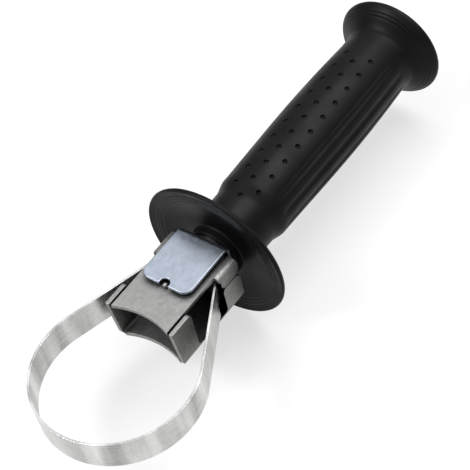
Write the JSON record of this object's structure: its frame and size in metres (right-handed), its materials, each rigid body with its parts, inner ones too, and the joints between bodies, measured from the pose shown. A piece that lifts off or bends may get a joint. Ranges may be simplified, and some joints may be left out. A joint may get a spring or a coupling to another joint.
{
  "type": "power tool side handle",
  "caption": "Side handle for a hammer drill: a steel strap clamp with a folded saddle bracket, drawn tight by turning a long black grip that has a round hand guard and a flared end.",
  "frame": {"origin": "on the handle's axis, level with the middle of the loose strap's loop", "axes": "+X along the handle's axis, from the clamp towards the grip's free end; +Z along the axis of the tool's collar, on the side of the locking plate"},
  "size_m": [0.2526, 0.076, 0.0708],
  "materials": {
    "bracket_steel": "dull plated sheet",
    "zinc_steel": "bluish zinc plate",
    "bright_steel": "bright, lightly brushed",
    "black_moulding": "fine satin"
  },
  "bodies": {
    "clamp": {"saddle_bracket": "bracket_steel", "locking_plate": "zinc_steel", "thrust_washer": "bright_steel"},
    "grip": {"grip": "black_moulding", "threaded_insert": "bright_steel"},
    "draw_strap": {"strap": "bright_steel", "draw_plate": "bracket_steel", "draw_bolt": "bright_steel"}
  },
  "joints": [
    {"name": "grip_turn", "type": "hinge", "parent": "clamp", "child": "grip", "pos_m": [0.0711, 0, 0], "axis": [-1, 0, 0], "range_deg": [0, 1152]},
    {"name": "strap_draw", "type": "slide", "parent": "clamp", "child": "draw_strap", "axis": [1, 0, 0], "range_m": [0, 0.004]}
  ],
  "couplings": [
    {"joint": "strap_draw", "follows": "grip_turn", "m_per_rad": 0.00019894}
  ]
}
